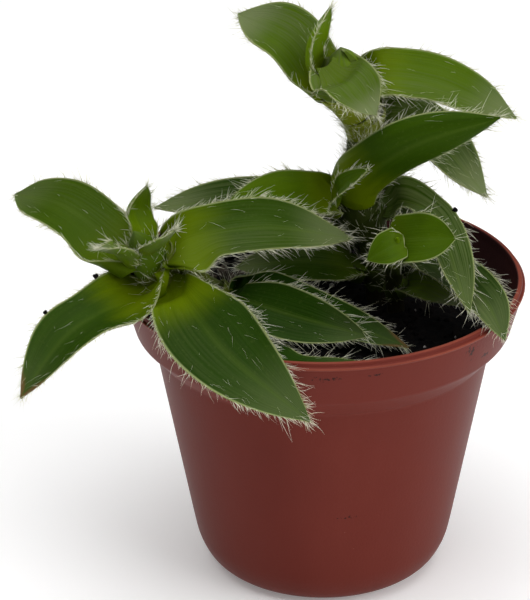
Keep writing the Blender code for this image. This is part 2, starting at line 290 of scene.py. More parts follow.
plastic = Finish("terracotta_plastic", Roughness=0.42, Specular_IOR_Level=0.07)
spot = plastic.where()
cloud = plastic.noise(spot, 55, 2)
streak = plastic.noise(plastic.stretched(spot, 90, 90, 12), 1, 3)
fine = plastic.noise(spot, 2600, 2)
colour = plastic.mixed(cloud, (0.1, 0.014, 0.0088), (0.13, 0.0208, 0.013))
colour = plastic.mixed(plastic.times(streak, 0.25), colour, (0.215, 0.05, 0.038))
dust = plastic.band(plastic.noise(spot, 1500, 4, 0.7), 0.71, 0.8)
colour = plastic.mixed(plastic.times(dust, 0.5), colour, (0.3, 0.16, 0.12))
for middle, reach in DRIED_SOIL:
    offset = plastic.vectors("SUBTRACT", spot, tuple(c * MM for c in middle))
    away = plastic.vectors("LENGTH", plastic.vectors("MULTIPLY", offset, tuple(1 / (c * MM) for c in reach)))
    crust = plastic.plus(plastic.noise(spot, 2100, 3), plastic.times(away, -0.32))
    soiled = plastic.band(crust, 0.34, 0.41)
    colour = plastic.mixed(plastic.times(soiled, 0.8), colour, (0.012, 0.008, 0.007))
# the bead and the lip crown are paler: a painted highlight along these thin edges, together with rubbed wear
x, y, z = plastic.split(spot)
bead = plastic.times(plastic.band(z, 0.04195, 0.0421), plastic.band(z, 0.0424, 0.0423))
ridge = plastic.larger(bead, plastic.band(z, 0.04286, 0.04297))
wear_and_highlight = plastic.times(ridge, plastic.band(cloud, 0.25, 0.55))
colour = plastic.mixed(plastic.times(wear_and_highlight, 0.45), colour, (0.33, 0.09, 0.055))
# painted shade, together with a film of soil, darkens the wall where it faces inward
level = plastic.node("CombineXYZ", {0: x, 1: y}).outputs[0]
turned_in = plastic.vectors("DOT_PRODUCT", level, plastic.node("TexCoord").outputs["Normal"])
inner_shade_and_soil = plastic.mixed(plastic.band(cloud, 0.3, 0.7), (0.03, 0.011, 0.011), (0.064, 0.02, 0.017))
plastic.paint(plastic.mixed(plastic.band(turned_in, -0.002, -0.012), colour, inner_shade_and_soil))
plastic.roughen(cloud, 0.36, 0.52)
plastic.bump(plastic.plus(fine, plastic.times(streak, 2)), 0.00004, 0.5)

pot_shape = turned(filleted([*POT_OUTSIDE, *POT_INSIDE]), POT_SEGMENTS)
pot = new_piece("nursery_pot", *pot_shape, plastic, sharp=35)
drill = bmesh.new()
r = DRAIN_RADIUS * MM
for k in range(DRAIN_HOLES):
    a = 2 * math.pi * k / DRAIN_HOLES + DRAIN_TURN
    made = bmesh.ops.create_cone(drill, cap_ends=True, segments=40, radius1=r, radius2=r, depth=4 * MM)
    shift = Vector((DRAIN_CIRCLE * math.cos(a), DRAIN_CIRCLE * math.sin(a), 0.5)) * MM
    bmesh.ops.translate(drill, vec=shift, verts=made["verts"])
drill_mesh = bpy.data.meshes.new("drill")
drill.to_mesh(drill_mesh)
drill.free()
drill_bits = bpy.data.objects.new("drill", drill_mesh)
link(drill_bits)
cut = pot.modifiers.new("drain_holes", "BOOLEAN")
cut.operation = "DIFFERENCE"
cut.object = drill_bits
drilled = bpy.data.meshes.new_from_object(pot.evaluated_get(bpy.context.evaluated_depsgraph_get()))
pot.modifiers.clear()
pot.data = drilled
bpy.data.objects.remove(drill_bits)
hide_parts("pot")

# The potting soil.
# Dark moist peat, crumbly on top, with loose crumbs, short bits of fibre and a few pale grains of perlite.
# It fills the pot up to the foot of the collar, and the stems grow out of it.
SOIL_Z = 36.6
SOIL_LUMP = 0.6
SOIL_LUMP_SIZE = 4.5
SOIL_EDGE = 24.7
SOIL_RINGS = 64
SOIL_SEGMENTS = 200

peat = Finish("potting_soil", Roughness=0.95, Specular_IOR_Level=0.12)
spot = peat.where()
grain = peat.noise(spot, 900, 5, 0.7)
clods = peat.noise(spot, 260, 3)
colour = peat.mixed(peat.band(grain, 0.4, 0.72), (0.0007, 0.0006, 0.0009), (0.0065, 0.0045, 0.0035))
peat.paint(peat.mixed(peat.band(clods, 0.58, 0.8), colour, (0.012, 0.008, 0.006)))
peat.bump(grain, 0.0003, 0.8)


def soil_height(x, y):
    lump = Vector((x, y, 0)) / SOIL_LUMP_SIZE
    height = SOIL_Z + SOIL_LUMP * (noise.noise(lump) + 0.5 * noise.noise(lump * 2.3))
    height += 0.35 * noise.noise(Vector((x, y, 3)) * 1.1)
    return height + 0.2 * noise.noise(Vector((x, y, 9)) * 2.6)


soil_side = [(0, 1.25), (12.4, 1.25), (14.3, 2.1), (16, 4.1), (16.9, 7.4), (21.9, 33.9), (SOIL_EDGE, SOIL_Z)]
soil_top = [(SOIL_EDGE * k / SOIL_RINGS, SOIL_Z) for k in range(SOIL_RINGS - 1, -1, -1)]
soil_points, soil_faces = turned([*soil_side, *soil_top], SOIL_SEGMENTS)
for point in soil_points:
    if point[2] == SOIL_Z:
        point[2] = soil_height(point[0], point[1])
soil = new_piece("soil_fill", soil_points, soil_faces, peat, sharp=80)
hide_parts("soil")

draw = np.random.default_rng(7)


def built(name, builder, finish):
    """A shown piece from a bmesh in mm."""
    bmesh.ops.scale(builder, vec=(MM, MM, MM), verts=builder.verts)
    mesh = bpy.data.meshes.new(name)
    builder.to_mesh(mesh)
    builder.free()
    return show(name, mesh, finish)


def grains(name, count, smallest, largest, finish, reach, middle=(0, 0)):
    """Loose angular grains lying on the soil, as one piece."""
    builder = bmesh.new()
    for _ in range(count):
        r = reach * math.sqrt(draw.random())
        a = draw.random() * 2 * math.pi
        x, y = middle[0] + r * math.cos(a), middle[1] + r * math.sin(a)
        size = smallest + (largest - smallest) * draw.random() ** 2.5
        stretch = 0.6 + 0.8 * draw.random(3)
        made = bmesh.ops.create_icosphere(builder, subdivisions=1, radius=size / 2)
        seed = Vector(draw.random(3) * 50)
        for v in made["verts"]:
            v.co *= 1 + 0.5 * noise.noise(v.co * (1.8 / size) + seed)
            v.co = Vector((v.co.x * stretch[0] + x, v.co.y * stretch[1] + y,
                           v.co.z * stretch[2] + soil_height(x, y) + 0.25 * size))
    return built(name, builder, finish)


def specked(name, scale, dark, pale, **values):
    """A rough finish for loose grains, specked from dark to pale."""
    finish = Finish(name, **values)
    speck = finish.noise(finish.where(), scale, 4)
    finish.paint(finish.mixed(speck, dark, pale))
    finish.bump(speck, 0.0002)
    return finish


crumbs = grains("soil_crumbs", 520, 0.35, 2, peat, 24)
perlite = specked("perlite", 1800, (0.1, 0.09, 0.085), (0.42, 0.4, 0.38), Roughness=0.9)
grains("perlite_grains", 34, 0.35, 1.1, perlite, 23.5)
fibre = specked("peat_fibre", 1500, (0.02, 0.015, 0.012), (0.12, 0.1, 0.08), Roughness=0.95,
                Specular_IOR_Level=0.1)
grains("fibre_crumbs", 90, 0.5, 2.2, fibre, 7.5, (-11.5, 6))

# The stems.
# Soft green stems, thicker at each node, that the leaf sheaths clothe. One climbs in the middle, one
# creeps over to the left rim, and a short side shoot stands in front. They root in the soil.
STEMS = {
    # centre line and radius, from under the soil to the tip
    "main_stem": [(8, 6, 29, 2.1), (8, 6, 37, 2.1), (7, 5, 45, 2), (5, 4, 52, 2.4), (4.9, 4.8, 57, 2),
        (5.2, 5.5, 63, 2), (3, 4.5, 67.5, 2.4), (1.2, 4, 70.3, 1.9), (0.6, 4, 72.8, 0.4)],
    "left_stem": [(-12, -4, 29, 1.9), (-12, -4, 37, 1.9), (-14, -5, 42, 1.8), (-18.5, -6.6, 45, 2),
        (-22.5, -8, 47.8, 2.4), (-23.6, -8.8, 50.5, 1.8), (-24, -9.2, 52.5, 0.4)],
    "side_stem": [(10, 1.6, 29, 1.2), (10, 1.6, 37, 1.2), (9.6, 0.2, 42.5, 1.15), (9.5, -4.6, 47.3, 1.25),
        (9.5, -8.8, 50.8, 0.4)],
}
STEM_SIDES = 28
STEM_RIBS = 7
STEM_RIB_HEIGHT = 0.03


def smooth(t):
    t = np.clip(t, 0, 1)
    return t * t * (3 - 2 * t)


def unit(v):
    return v / np.linalg.norm(v, axis=-1, keepdims=True)


def spline(points, steps):
    """Points along a centripetal Catmull-Rom curve through the given ones, with steps to each span."""
    p = [np.array(q, float) for q in points]
    p = [2 * p[0] - p[1], *p, 2 * p[-1] - p[-2]]
    knots = [0]
    for a, b in zip(p, p[1:]):
        knots.append(knots[-1] + math.sqrt(np.linalg.norm((b - a)[:3])))
    path = []
    for i in range(1, len(p) - 2):
        before, start, end, after = knots[i - 1:i + 3]
        for t in np.linspace(start, end, steps, endpoint=False):
            first = p[i - 1] + (p[i] - p[i - 1]) * (t - before) / (start - before)
            second = p[i] + (p[i + 1] - p[i]) * (t - start) / (end - start)
            third = p[i + 1] + (p[i + 2] - p[i + 1]) * (t - end) / (after - end)
            low = first + (second - first) * (t - before) / (end - before)
            high = second + (third - second) * (t - start) / (after - start)
            path.append(low + (high - low) * (t - start) / (end - start))
    return np.array([*path, p[-2]])


def round_turns(sides):
    return np.arange(sides) * 2 * math.pi / sides


def tube(path, sides, outline):
    """Points and faces of a closed tube round a path with radii, which the outline scales."""
    turns = round_turns(sides)
    rings, side = [], np.array((1.0, 0, 0))
    for i, centre in enumerate(path):
        ahead = unit(path[min(i + 1, len(path) - 1)][:3] - path[max(i - 1, 0)][:3])
        side = unit(side - ahead * side.dot(ahead))
        other = np.cross(ahead, side)
        outward = np.cos(turns)[:, None] * side + np.sin(turns)[:, None] * other
        rings.append(centre[:3] + (centre[3] * outline(turns, i))[:, None] * outward)
    faces = []
    for i in range(len(rings) - 1):
        for k in range(sides):
            p, q = i * sides + k, i * sides + (k + 1) % sides
            faces.append((p, q, q + sides, p + sides))
    faces.append(range(sides))
    faces.append(range((len(rings) - 1) * sides, len(rings) * sides))
    return np.concatenate(rings), faces


def ribbed(turns, ring):
    return 1 + STEM_RIB_HEIGHT * np.cos(STEM_RIBS * turns)


flesh = Finish("stem_green", Roughness=0.5, Specular_IOR_Level=0.2)
spot = flesh.where()
mottle = flesh.noise(spot, 420, 3)
stripe = flesh.noise(flesh.stretched(spot, 2600, 2600, 160), 1, 3)
colour = flesh.mixed(mottle, (0.03, 0.052, 0.004), (0.075, 0.095, 0.012))
colour = flesh.mixed(flesh.band(stripe, 0.5, 0.75), colour, (0.11, 0.12, 0.035))
# the stems turn dark brown towards the soil
toward_soil = flesh.band(flesh.split(spot)["Z"], 0.046, 0.039)
flesh.paint(flesh.mixed(toward_soil, colour, (0.012, 0.01, 0.004)))
flesh.bump(stripe, 0.00012, 0.6)

stem_axes = {name: spline(points, 10) for name, points in STEMS.items()}
for name, path in stem_axes.items():
    stem = new_piece(name + "_flesh", *tube(path, STEM_SIDES, ribbed), flesh)
    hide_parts(name)


def stem_at(name, height):
    """A stem's axis point, radius and direction at a height in mm."""
    path = stem_axes[name]
    for a, b in zip(path, path[1:]):
        if a[2] <= height <= b[2]:
            spot = a + (b - a) * (height - a[2]) / (b[2] - a[2])
            return spot[:3], spot[3], unit((b - a)[:3])
    raise ValueError(f"{name} has no point {height} mm up")


# The leaves.
# Fleshy boat-shaped blades, each growing from a sheath round its stem: deep green above, yellower at the
# base and on young growth, with a painted grey-green sheen standing in for reflected light, fine lengthwise
# veins and a pale thin margin.
LEAVES = {
    # stem, height, side, wrap, middle, tip, face, width, fold, then light (brighter young growth, with
    # painted light that lifts leaves lying in shade), sheen (share of the painted grey-green sheen), yellow,
    # brown, fringe, coat
    "left_leaf_back": (
        "left_stem", 48.2, 140, 42, (-35, 2, 52.1), (-42.6, 10, 50.5), (0.2, -0.7, 0.7), 8.8, 0.45,
        (0.3, 0.22, 0.4, 0, 0.6, 0.8)),
    "left_leaf_outer": (
        "left_stem", 47, 215, 40, (-33.2, -18, 42.9), (-39, -26, 37.5), (0, -0.3, 1), 8.5, 0.5,
        (0.08, 0.08, 1, 0.8, 0.9, 1)),
    "left_leaf_front": (
        "left_stem", 45.5, 300, 42, (-11.8, -27, 44), (-1.6, -32.5, 37.5), (-0.1, -0.6, 0.8), 12, 0.3,
        (0.03, 0.2, 1, 0.1, 1, 1)),
    "left_leaf_inner": (
        "left_stem", 48.4, 6, 42, (-8, -7, 53.1), (3.9, -4, 50.1), (0, -0.6, 0.8), 8.4, 0.5,
        (0.12, 0.5, 0.8, 0, 1, 0.8)),
    "left_leaf_young": (
        "left_stem", 50.2, 80, 42, (-24.8, -4.5, 54.4), (-23.2, -6, 58.6), (0.6, -0.7, 0.3), 4.2, 0.7,
        (0.9, 0.1, 0.4, 0, 1.2, 1.6)),
    "left_leaf_small": (
        "left_stem", 50.2, 200, 42, (-26.8, -11, 51.6), (-29.4, -12, 52.2), (0.3, 0.3, 0.9), 4.4, 0.7,
        (0.8, 0.8, 0.5, 0, 1.6, 2.4)),
    "left_leaf_smaller": (
        "left_stem", 51.3, 310, 36, (-21, -12, 53.4), (-19.2, -12.4, 55.2), (-0.3, 0.2, 0.9), 3.8, 0.7,
        (0.8, 0.8, 0.5, 0, 1.6, 2.4)),
    "left_leaf_low": (
        "left_stem", 42.5, -45, 42, (-3, -13.8, 43.1), (6, -16, 41.4), (0.1, -0.85, 0.5), 7.4, 0.4,
        (0, 0.12, 0, 0.15, 0.5, 0.9)),
    "left_leaf_long": (
        "left_stem", 41.5, 0, 42, (1.7, -9, 40.6), (11.4, -14, 38.8), (0.1, -0.7, 0.7), 5.6, 0.4,
        (0, 0.1, 0, 0.8, 0.45, 0.7)),
    "left_leaf_lowest": (
        "left_stem", 39.3, -85, 42, (-4.3, -18.8, 39), (5.2, -18.4, 38.9), (0, 0, 1), 5, 0.4,
        (0, 0.1, 0, 0.3, 0.35, 0.7)),
    "mid_leaf_right": (
        "main_stem", 53.5, -110, 70, (11.4, -3.6, 63.5), (23.2, -5, 67.9), (0, 0.95, 0), 7.4, 0.4,
        (0.14, 0, 1, 0, 0.4, 0.4)),
    "mid_leaf_left": (
        "main_stem", 52, 180, 42, (-5, 1, 54.2), (-12.9, -2.5, 54.4), (0, -0.5, 0.8), 7.5, 0.5,
        (0.5, 0, 1, 0, 0.9, 0.8)),
    "mid_leaf_back": (
        "main_stem", 50, 150, 42, (-11.3, 9, 50), (-23.1, 7, 49.8), (0, -0.5, 0.8), 7.5, 0.4,
        (0.05, 0.55, 0.2, 0, 0.6, 0.9)),
    "mid_leaf_young": (
        "main_stem", 51.5, -150, 40, (2.5, -3.6, 57.4), (6, -6.5, 61.2), (-0.5, -0.5, 0.7), 3.6, 0.7,
        (0.35, 0, 0.9, 0, 0.6, 0.7)),
    "mid_leaf_drooping": (
        "main_stem", 50, -5, 42, (14.4, -2.8, 53.4), (19.1, -18.8, 46.2), (0.45, -0.35, 0.8), 7.2, 0.4,
        (0.06, 0.84, 0.1, 0, 0.5, 0.6)),
    "mid_leaf_rear": (
        "main_stem", 49, 60, 42, (8, 15, 52.4), (9, 25, 46), (0, 0.2, 1), 7.5, 0.5,
        (0.2, 0.3, 0.4, 0.1, 0.8, 1)),
    "top_leaf_left": (
        "main_stem", 68.1, 140, 42, (-4.4, 7, 74.4), (-11.4, 11, 76.5), (0.3, -0.7, 0.6), 9, 0.5,
        (0.5, 0.75, 1, 0, 0.5, 0.7)),
    "top_leaf_young": (
        "main_stem", 70.8, 185, 42, (-1.1, 3, 75.2), (1.1, 3, 80.3), (0.8, -0.4, 0.3), 4.4, 0.7,
        (1, 0.1, 0.6, 0, 1.2, 2)),
    "top_leaf_front": (
        "main_stem", 69, -80, 58, (3.2, -1, 71.4), (7, -4, 67.8), (0.2, -0.6, 0.7), 8, 0.5,
        (0.5, 0.8, 0.3, 0, 0.9, 1.2)),
    "top_leaf_right": (
        "main_stem", 67.3, 0, 42, (15.5, 4, 69.2), (25.9, 3, 64.6), (0.1, -0.5, 0.8), 8.3, 0.5,
        (0.5, 0.6, 0.7, 0, 0.6, 0.8)),
    "top_leaf_drooping": (
        "main_stem", 63, 20, 42, (14.6, 8, 60.5), (22.4, 5, 52.2), (0.3, -0.6, 0.7), 8, 0.4,
        (0.1, 0.9, 0.2, 0, 0.8, 4.5)),
    "top_leaf_rear": (
        "main_stem", 64.5, 85, 42, (2, 15, 67), (-1.5, 22, 63.5), (0, 0.2, 1), 7.5, 0.5,
        (0.3, 0.3, 0.4, 0, 0.8, 1)),
    "low_leaf_left": (
        "main_stem", 42, 200, 42, (-3.1, 0, 45), (-11.8, -1, 44.4), (0, -0.6, 0.8), 7, 0.4,
        (0.1, 0.45, 0.3, 0, 0.7, 0.8)),
    "low_leaf_rear": (
        "main_stem", 45, 105, 42, (-3, 13, 47), (-11, 18, 43.8), (0, 0, 1), 7.5, 0.4,
        (0.1, 0.35, 0.3, 0.1, 0.8, 1)),
    "rim_leaf_right": (
        "main_stem", 41.5, 20, 30, (21.3, -12.8, 45.2), (23.7, -19, 42.4), (0, -0.2, 1), 7.2, 0.4,
        (0, 0.76, 0, 0.1, 0.6, 0.6)),
    "low_leaf_right": (
        "side_stem", 40.9, -26, 42, (14.3, -1.7, 41.8), (18.4, -6.4, 41.4), (0, -0.4, 0.9), 5.6, 0.35,
        (1, 1, 0, 0.1, 0.5, 0.5)),
    "side_leaf_right": (
        "side_stem", 49.6, 30, 50, (13, -11.8, 53.6), (17.3, -13.4, 54.3), (-0.1, -0.8, 0.6), 6.9, 0.4,
        (0.34, 0, 0.3, 0, 0.2, 0.1)),
    "side_leaf_left": (
        "side_stem", 49.4, 180, 50, (8.4, -12.2, 52.3), (5.8, -12.2, 50.6), (0.1, -0.75, 0.6), 4.6, 0.45,
        (0.34, 0, 0.2, 0, 0.2, 0.1)),
}
WINGS = {
    # how much further round its stem each side of a base reaches, and how far that side runs down it,
    # then the share of the blade along which both fade out, if not the usual one
    "left_leaf_inner": (1.9, 6.6, 1, 0, 0.3), "left_leaf_back": (1, 0, 2.1, 4.4, 0.4),
    "left_leaf_outer": (1.3, 0, 1.9, 3.3), "left_leaf_front": (0.9, 0, 0.5, 0),
    "left_leaf_low": (1, 0, 0.5, 0.8), "top_leaf_front": (1.5, 0.4, 1.5, -1.6),
    "mid_leaf_right": (1, 0, 0.74, 0), "mid_leaf_drooping": (0.45, 0, 1, 0),
}
WING_FADE = 0.45
FEET = {
    # half the width and the curl of a broad open base, and the spot of a foot that laps over its bud
    "mid_leaf_right": (4.6, 0.95, None), "mid_leaf_left": (3.8, 1, None), "top_leaf_young": (2.9, 1.1, None),
    "mid_leaf_drooping": (3.5, 1, None), "mid_leaf_young": (1.6, 0.9, (1.3, 0.5, 53)),
    "side_leaf_right": (2.9, 0.45, (8.6, -8.6, 51.9)), "side_leaf_left": (2.2, 0.5, (10.6, -11.1, 52.9)),
}
# the power of a blunter tip's taper, and the share of the painted tip sheen that a tip keeps
BLUNT = {"rim_leaf_right": 3.4, "side_leaf_right": 3, "side_leaf_left": 1.5, "left_leaf_back": 2.8,
         "top_leaf_left": 2.8}
TIP_SHEEN_KEPT = {"mid_leaf_drooping": 0.15, "rim_leaf_right": 0.25}
BLADE_ROWS = 64
BLADE_COLUMNS = 22
BROADEST_AT = 0.44
TAPER = 2.1
HEEL_AT = 0.13
CLASP_END = 0.3
CLASP_GAP = 0.2
CLASP_LAYER = 0.09
RIB_THICKNESS = 1.5
EDGE_THICKNESS = 0.3
ROOTED = 0.15
WAVE = 0.16
GROOVE_DEPTH = 0.22
GROOVE_WIDTH = 0.13

leaf = Finish("leaf_green", Roughness=0.42, Specular_IOR_Level=0.035, Subsurface_Weight=0.1,
              Subsurface_Scale=0.0012, Subsurface_Radius=(0.5, 1, 0.1))
place = leaf.stored("leaf_place")
run, across, _ = leaf.split(place)
light, sheen_share, yellow = leaf.split(leaf.stored("leaf_tone"))
brown, tip_sheen_kept, lapping = leaf.split(leaf.stored("leaf_ageing"))
off_rib = leaf.reckon("ABSOLUTE", across)
veins = leaf.noise(leaf.stretched(place, 2.2, 15, 31), 1, 3, 0.5)
broad = leaf.noise(leaf.stretched(place, 1.6, 3.2, 17), 1, 2)
fleck = leaf.noise(leaf.where(), 2400, 3)
# light lifts a leaf from deep to bright green: young growth is brighter, and leaves that lie in shade get
# painted light
deep = leaf.mixed(broad, (0.0062, 0.0225, 0.0006), (0.017, 0.049, 0.0012))
bright = leaf.mixed(broad, (0.082, 0.15, 0.0014), (0.128, 0.21, 0.0022))
colour = leaf.mixed(light, deep, bright)
# a painted grey-green sheen, standing in for reflected light, between the veins, most on the lower half or
# over all of a leaf with a high sheen share, and a paler patch at the tip: painted sheen with the grey of its
# hairs
lower_half = leaf.larger(leaf.band(leaf.times(across, -1), -0.55, 0.5), leaf.band(sheen_share, 0.7, 0.85))
sheen = leaf.times(sheen_share, leaf.band(veins, 0.25, 0.75))
sheen = leaf.times(sheen, leaf.plus(0.25, leaf.times(lower_half, 0.9)))
tip_sheen_and_hair_grey = leaf.times(leaf.times(leaf.band(run, 0.62, 0.97), leaf.times(sheen_share, 1.1)), tip_sheen_kept)
sheen = leaf.plus(sheen, tip_sheen_and_hair_grey)
colour = leaf.mixed(leaf.clamp01(sheen), colour, (0.088, 0.118, 0.036))
colour = leaf.mixed(leaf.clamp01(tip_sheen_and_hair_grey), colour, (0.15, 0.185, 0.078))
# the rib is a little lighter, the base yellower, and the finest down shows as flecks
rib_light = leaf.band(off_rib, 0.16, 0)
colour = leaf.mixed(leaf.times(rib_light, 0.22), colour, (0.075, 0.125, 0.012))
near_base = leaf.band(leaf.plus(run, leaf.times(broad, 0.16)), 0.46, 0.2)
colour = leaf.mixed(leaf.times(near_base, yellow), colour, (0.1, 0.15, 0.0008))
down = leaf.band(fleck, 0.56, 0.72)
colour = leaf.mixed(leaf.times(down, 0.1), colour, (0.115, 0.15, 0.035))
# the margin is pale, and so is the edge of a foot that laps over a bud
edge = leaf.band(leaf.plus(off_rib, leaf.times(run, 0.02)), 0.94, 0.99)
edge = leaf.larger(edge, leaf.times(leaf.band(run, 0.03, 0.01), lapping))
colour = leaf.mixed(leaf.times(edge, 0.8), colour, (0.27, 0.3, 0.13))
# a brown tip where the leaf has begun to dry
dry_place = leaf.plus(leaf.plus(run, leaf.times(off_rib, 0.14)), leaf.times(veins, 0.12))
dry_from = leaf.reckon("SUBTRACT", 1.2, leaf.times(brown, 0.22))
dry = leaf.band(dry_place, dry_from, leaf.plus(dry_from, 0.07))
leaf.paint(leaf.mixed(leaf.times(dry, 0.85), colour, (0.12, 0.066, 0.025)))
leaf.roughen(veins, 0.34, 0.56)
leaf.bump(leaf.plus(veins, leaf.times(fleck, 0.25)), 0.00012, 0.5)


class Blade:
    """A leaf's rib and cross-sections, from which its skin and its hairs are placed."""

    def __init__(self, name, number):
        self.stem, self.height, side, wrap, middle, tip, face, self.width, self.fold, self.tone = LEAVES[name]
        self.number = number
        self.axis, self.radius, self.up_stem = stem_at(self.stem, self.height)
        older = sum(self.stem == other[0] and self.height < other[1] for other in LEAVES.values())
        clasped = self.radius + CLASP_GAP + CLASP_LAYER * older
        turn = math.radians(side)
        outward = np.array((math.cos(turn), math.sin(turn), 0))
        self.outward = unit(outward - self.up_stem * outward.dot(self.up_stem))
        base_half, wrap_at_base, foot = FEET.get(name, (None, None, None))
        self.lapping = float(foot is not None)
        base = np.array(foot) if self.lapping else self.axis + self.outward * clasped
        middle, tip = np.array(middle, float), np.array(tip, float)
        self.length = np.linalg.norm(middle - base) + np.linalg.norm(tip - middle)
        heel_way = unit(middle - base)
        if not self.lapping:
            heel_way = unit(0.5 * self.up_stem + 0.2 * self.outward + heel_way)
        heel = base + heel_way * HEEL_AT * self.length
        path = spline([base, heel, middle, tip], 40)
        path[0] -= self.outward * ROOTED
        steps = np.r_[0, np.cumsum(np.linalg.norm(np.diff(path, axis=0), axis=1))]
        self.s = np.linspace(0, 1, 121)
        self.rib = np.stack([np.interp(self.s, steps / steps[-1], path[:, k]) for k in range(3)], axis=1)
        self.ahead = unit(np.gradient(self.rib, axis=0))
        full = self.width / 2
        if base_half is None:
            base_half = min(clasped * min(math.radians(wrap) * 1.9, 1.45), full * 0.92)
            wrap_at_base = base_half / clasped
        eased = np.ones(len(self.s)) if self.lapping else smooth(self.s / CLASP_END)
        faced = -self.outward + (unit(np.array(face, float)) + self.outward) * eased[:, None]
        self.face = unit(faced - self.ahead * np.sum(faced * self.ahead, axis=1, keepdims=True))
        self.across = unit(np.cross(self.face, self.ahead))
        self.curl = wrap_at_base + (self.fold - wrap_at_base) * smooth(self.s / CLASP_END)
        back = np.clip((BROADEST_AT - self.s) / BROADEST_AT, 0, 1)
        front = np.clip((self.s - BROADEST_AT) / (1 - BROADEST_AT), 0, 1)
        swell = base_half + (full - base_half) * (1 - back * back)
        taper = BLUNT.get(name, TAPER)
        self.half = np.where(self.s < BROADEST_AT, swell, np.maximum(0.1, full * (1 - front ** taper)))
        if self.lapping:
            self.half *= np.sqrt(np.clip(self.s / 0.14, 0.03, 1))
        self.wings = (*WINGS.get(name, (1, 0, 1, 0)), WING_FADE)[:5]
        self.thick = EDGE_THICKNESS + (RIB_THICKNESS - EDGE_THICKNESS) * (1 - self.s ** 2)
        self.thick *= min(1, self.width / 6.5)
        self.woolly, self.coat = self.tone[4:]
        self.small = min(1, 0.5 + self.width / 15)
        self.waves = 1.2 + 1.3 * np.random.default_rng(100 + number).random(2)
        self.phase = 6.28 * np.random.default_rng(600 + number).random(2)

    def at(self, values, s):
        """A measure or direction of the rib at shares s along it."""
        if values.ndim == 1:
            return np.interp(s, self.s, values)
        return np.stack([np.interp(s, self.s, values[:, k]) for k in range(3)], axis=-1)

    def ways(self, s):
        return self.at(self.ahead, s), self.at(self.across, s)

    def skin(self, s, v, under=False):
        """Points and outward normals of the upper or lower skin at shares s along and v across."""
        measures = (self.rib, self.face, self.across, self.half, self.curl, self.thick)
        rib, face, across, half, curl, thick = (self.at(measure, s) for measure in measures)
        left, left_drop, right, right_drop, fade = self.wings
        bend = half / curl
        near = 1 - smooth(s / fade)
        further = np.where(v < 0, left, right) - 1
        turn = curl * v * (1 + further * near)
        down = np.where(v < 0, left_drop, right_drop) * v * v * near
        edge = (v > 0).astype(int)
        wave = WAVE * np.abs(v) ** 3 * np.sin(6.28 * self.waves[edge] * s + self.phase[edge])
        wave *= smooth(s / 0.3) * smooth((1 - s) / 0.2) * self.width / 8
        groove = GROOVE_DEPTH * np.exp(-(v / GROOVE_WIDTH) ** 2) * (1 - s) * smooth(s / 0.2)
        lift = bend * (1 - np.cos(turn)) + wave - (0 if under else 1) * groove
        normal = face * np.cos(turn)[..., None] - across * np.sin(turn)[..., None]
        point = rib + across * (bend * np.sin(turn))[..., None] + face * lift[..., None]
        point = point - self.up_stem * down[..., None]
        if under:
            depth = EDGE_THICKNESS * 0.5 + (thick - EDGE_THICKNESS * 0.5) * (1 - np.abs(v) ** 2.2)
            return point - normal * depth[..., None], -normal
        return point, normal


def grid(rows, columns):
    return [values.ravel() for values in np.meshgrid(rows, columns, indexing="ij")]


def two_skins(rows, columns, closed=False):
    """Faces of a thin sheet, open or closed round, whose outer points come before its inner ones."""
    wide = columns if closed else columns + 1
    count = (rows + 1) * wide
    faces = []
    for i in range(rows):
        for c in range(columns):
            a, b = i * wide + c, i * wide + (c + 1) % wide
            faces.append((a, b, b + wide, a + wide))
            faces.append((count + a, count + a + wide, count + b + wide, count + b))
        for a in () if closed else (i * wide, i * wide + columns):
            faces.append((a, a + wide, count + a + wide, count + a))
    for first in (0, rows * wide):
        for c in range(columns):
            a, b = first + c, first + (c + 1) % wide
            faces.append((a, b, count + b, count + a))
    return faces


def mark(mesh, **marks):
    """Stores rows of numbers or vectors on all the points, over and over, for the finish to read."""
    for name, rows in marks.items():
        rows = np.array(rows, np.float32)
        kind, key = ("FLOAT", "value") if rows.ndim == 1 else ("FLOAT_VECTOR", "vector")
        repeats = (len(mesh.vertices) // len(rows), 1)[:rows.ndim]
        mesh.attributes.new(name, kind, "POINT").data.foreach_set(key, np.tile(rows, repeats).ravel())


def places(s, v, number):
    """Rows of places on a leaf: the shares along and across, and the leaf's number."""
    return np.stack((s, v, np.full(len(s), number)), axis=1)


blades = {}
for number, name in enumerate(LEAVES):
    blade = blades[name] = Blade(name, number)
    s, v = grid(np.linspace(0, 1, BLADE_ROWS + 1) ** 0.96,
                np.sin(np.linspace(-math.pi / 2, math.pi / 2, BLADE_COLUMNS + 1)))
    points = np.concatenate((blade.skin(s, v)[0], blade.skin(s, v, under=True)[0]))
    piece = new_piece(name + "_blade", points, two_skins(BLADE_ROWS, BLADE_COLUMNS), leaf, sharp=60)
    mark(piece.data, leaf_place=places(s, v, number), leaf_tone=[blade.tone[:3]],
         leaf_ageing=[(blade.tone[3], TIP_SHEEN_KEPT.get(name, 1), blade.lapping)])
    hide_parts(name)

# The leaf sheaths.
# Below each blade its base closes round the stem as a thin yellow-green tube, tight at the foot and open
# above, where it widens into the back of the blade. It grows as one with the leaf.
SHEATH_SIDES = 40
SHEATH_ROWS = 10
SHEATH_THICKNESS = 0.22
SHEATH_DROP = 3.2
CROWDED_SHADE = 0.65
LOW_SHADE = 0.9
SHADED_BELOW = 56

sheath = Finish("sheath_green", Roughness=0.55, Specular_IOR_Level=0.18, Subsurface_Weight=0.15,
                Subsurface_Scale=0.001, Subsurface_Radius=(0.6, 1, 0.2))
place = sheath.stored("leaf_place")
lines = sheath.noise(sheath.stretched(place, 1.5, 22, 13), 1, 3)
colour = sheath.mixed(lines, (0.15, 0.195, 0.005), (0.235, 0.275, 0.012))
colour = sheath.mixed(sheath.band(sheath.split(place)["X"], 0.35, 1), colour, (0.23, 0.275, 0.025))
colour = sheath.mixed(sheath.band(lines, 0.6, 0.8), colour, (0.17, 0.17, 0.07))
sheath.paint(sheath.mixed(sheath.stored("leaf_shade", "Fac"), colour, (0.009, 0.021, 0.0015)))
sheath.bump(lines, 0.00012, 0.6)


